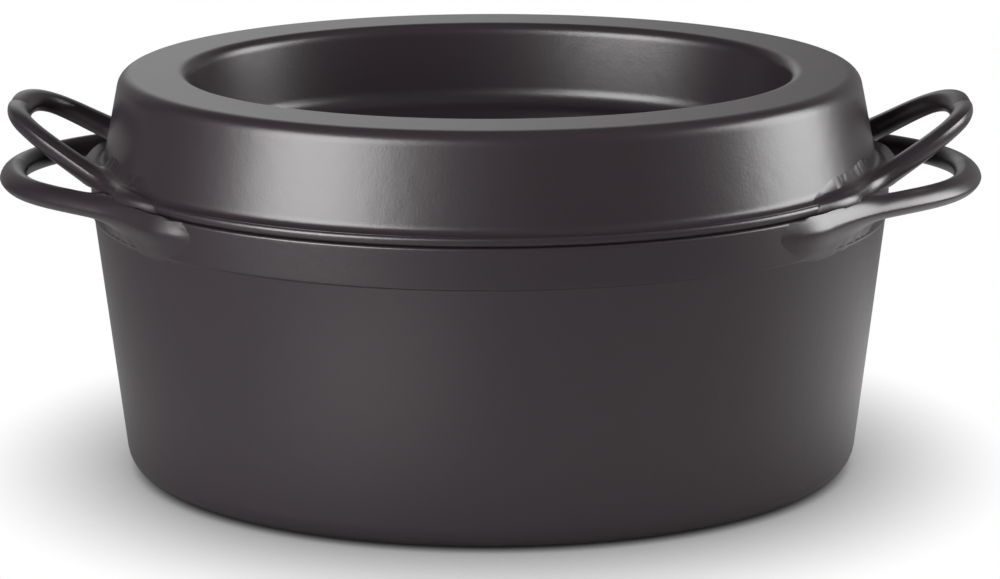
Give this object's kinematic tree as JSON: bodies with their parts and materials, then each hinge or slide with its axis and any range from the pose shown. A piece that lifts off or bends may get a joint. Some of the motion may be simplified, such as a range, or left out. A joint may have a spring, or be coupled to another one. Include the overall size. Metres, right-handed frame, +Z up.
{
  "type": "oval dutch oven",
  "caption": "Oval cast iron dutch oven with loop handles and a lift-off lid whose top is a deep tray inside a broad flat ring.",
  "frame": {"origin": "middle of the pot's flat base, on the surface that it stands on", "axes": "+X along the oval towards the right handles, +Y towards the back, +Z up"},
  "size_m": [0.4084, 0.2624, 0.1688],
  "materials": {
    "enamelled_iron": "satin black enamel with a fine orange-peel texture"
  },
  "bodies": {
    "pot": {"pot_body": "enamelled_iron", "pot_handle_left": "enamelled_iron", "pot_handle_right": "enamelled_iron"},
    "lid": {"lid_body": "enamelled_iron", "lid_handle_left": "enamelled_iron", "lid_handle_right": "enamelled_iron"}
  },
  "joints": [
    {"name": "lid_lift", "type": "slide", "parent": "pot", "child": "lid", "axis": [0, 0, 1], "range_m": [0, 0.15]}
  ]
}
